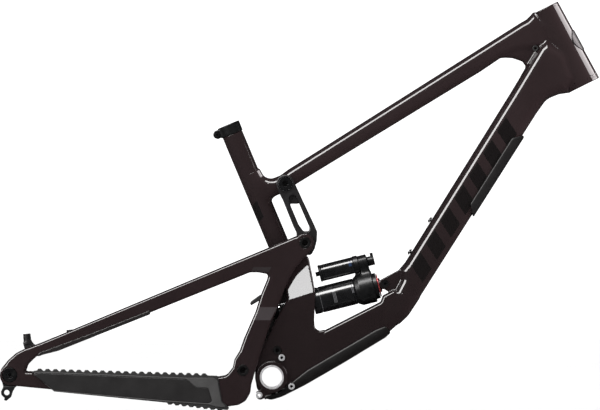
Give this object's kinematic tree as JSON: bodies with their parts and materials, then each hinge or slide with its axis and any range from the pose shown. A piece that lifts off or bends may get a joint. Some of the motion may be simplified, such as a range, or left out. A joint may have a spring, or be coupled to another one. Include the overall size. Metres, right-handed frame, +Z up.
{
  "type": "bicycle frame",
  "caption": "Full-suspension mountain bike frame with a carbon front triangle, a one-piece swingarm on short links and a piggyback air shock through the seat tube.",
  "frame": {"origin": "middle of the bottom bracket shell, on the bike's middle plane", "axes": "+X forward from the rear axle to the head tube, +Y to the left side, +Z up"},
  "size_m": [1.0127, 0.1742, 0.6932],
  "materials": {
    "carbon_paint": "deep gloss clear coat over a dark brown-purple paint",
    "shell_alloy": "machined, bright",
    "insert_steel": "turned steel threads",
    "badge": "satin grey, no mark",
    "collar_alloy": "black anodised, satin",
    "black_bolt": "black oxide steel",
    "guard_rubber": "matte moulded rubber",
    "chain_pad": "matte moulded rubber, ribbed",
    "stay_pad": "clear-coated film over the stay",
    "link_alloy": "forged alloy, satin black",
    "axle_alloy": "dark anodised, turned",
    "bearing_steel": "ground rings and dark seals",
    "hanger_alloy": "black anodised",
    "mount_alloy": "matte black",
    "shock_black": "gloss black anodised",
    "can_black": "gloss black with two pale rings and plain pale blocks",
    "shaft_chrome": "hard polished shaft",
    "seal_rubber": "matte",
    "dial_red": "red anodised",
    "lever_black": "satin black",
    "grommet_rubber": "matte"
  },
  "bodies": {
    "root": {"front_triangle": "carbon_paint", "bb_shell_sleeve": "shell_alloy", "iscg_inserts": "insert_steel", "head_badge": "badge", "seat_collar": "collar_alloy", "collar_bolt": "black_bolt", "collar_nut": "black_bolt", "bottle_bolts": "black_bolt", "down_tube_guard": "guard_rubber", "shuttle_guard": "guard_rubber", "shock_front_bolt": "black_bolt", "shock_front_nut": "black_bolt", "upper_link_axle": "axle_alloy", "upper_link_axle_caps": "black_bolt", "lower_link_axle": "axle_alloy", "lower_link_axle_nut": "axle_alloy", "cable_port_grommets": "grommet_rubber"},
    "upper_rocker": {"upper_link": "link_alloy", "upper_link_frame_bearings": "bearing_steel", "upper_link_stay_bearings": "bearing_steel"},
    "rear_arm": {"swingarm": "carbon_paint", "chainstay_protector": "chain_pad", "seatstay_protector": "stay_pad", "mud_flap": "guard_rubber", "derailleur_hanger": "hanger_alloy", "hanger_bolt": "black_bolt", "swingarm_upper_axle": "axle_alloy", "swingarm_lower_axle": "axle_alloy", "swingarm_axle_caps": "black_bolt", "brake_mount": "mount_alloy", "brake_mount_inserts": "insert_steel"},
    "lower_rocker": {"lower_link": "link_alloy", "lower_link_frame_bearings": "bearing_steel", "lower_link_stay_bearings": "bearing_steel", "shock_rear_bolt": "black_bolt"},
    "shock_body": {"shock_head": "shock_black", "shock_front_bushing": "bearing_steel", "air_can": "can_black", "air_can_seal_head": "seal_rubber", "reservoir": "can_black", "reservoir_cap": "shock_black", "air_valve": "black_bolt"},
    "shock_rod": {"shock_shaft": "shaft_chrome", "shock_piston": "axle_alloy", "shock_rear_eyelet": "shock_black", "sag_ring": "seal_rubber"},
    "lockout": {"compression_lever": "lever_black"},
    "rebound": {"rebound_dial": "dial_red"},
    "through_axle": {"rear_axle": "axle_alloy"}
  },
  "joints": [
    {"name": "upper_link_pivot", "type": "hinge", "parent": "root", "child": "upper_rocker", "pos_m": [0.0228, 0, 0.3272], "axis": [0, -1, 0], "range_deg": [0, 25], "stiffness_Nm_per_rad": 1188, "springref_deg": -2.86},
    {"name": "swingarm_pivot", "type": "hinge", "parent": "upper_rocker", "child": "rear_arm", "pos_m": [0.0561, 0, 0.2273], "axis": [0, -1, 0], "range_deg": [-38.6, 0.3]},
    {"name": "lower_link_pivot", "type": "hinge", "parent": "rear_arm", "child": "lower_rocker", "pos_m": [-0.0488, 0, 0.0117], "axis": [0, -1, 0], "range_deg": [-30.53, 0.3]},
    {"name": "shock_front_pivot", "type": "hinge", "parent": "root", "child": "shock_body", "pos_m": [0.1915, 0, 0.1577], "axis": [0, -1, 0], "range_deg": [-0.2, 3.3]},
    {"name": "shock_stroke", "type": "slide", "parent": "shock_body", "child": "shock_rod", "axis": [0.9703, 0, 0.2419], "range_m": [-0.0002, 0.0498]},
    {"name": "compression_lever_turn", "type": "hinge", "parent": "shock_body", "child": "lockout", "pos_m": [0.18098, 0, 0.19991], "axis": [0.9703, 0, 0.2419], "range_deg": [0, 80]},
    {"name": "rebound_dial_turn", "type": "hinge", "parent": "shock_body", "child": "rebound", "pos_m": [0.18083, 0, 0.15504], "axis": [0.9703, 0, 0.2419], "continuous": true},
    {"name": "rear_axle_turn", "type": "hinge", "parent": "rear_arm", "child": "through_axle", "pos_m": [-0.4419, 0, 0.0044], "axis": [0, 1, 0], "continuous": true}
  ],
  "couplings": [
    {"joint": "swingarm_pivot", "follows": "upper_link_pivot", "ratio": -1.532},
    {"joint": "lower_link_pivot", "follows": "upper_link_pivot", "ratio": -1.209},
    {"joint": "shock_front_pivot", "follows": "upper_link_pivot", "ratio": 0.124},
    {"joint": "shock_stroke", "follows": "upper_link_pivot", "m_per_rad": 0.1135}
  ]
}
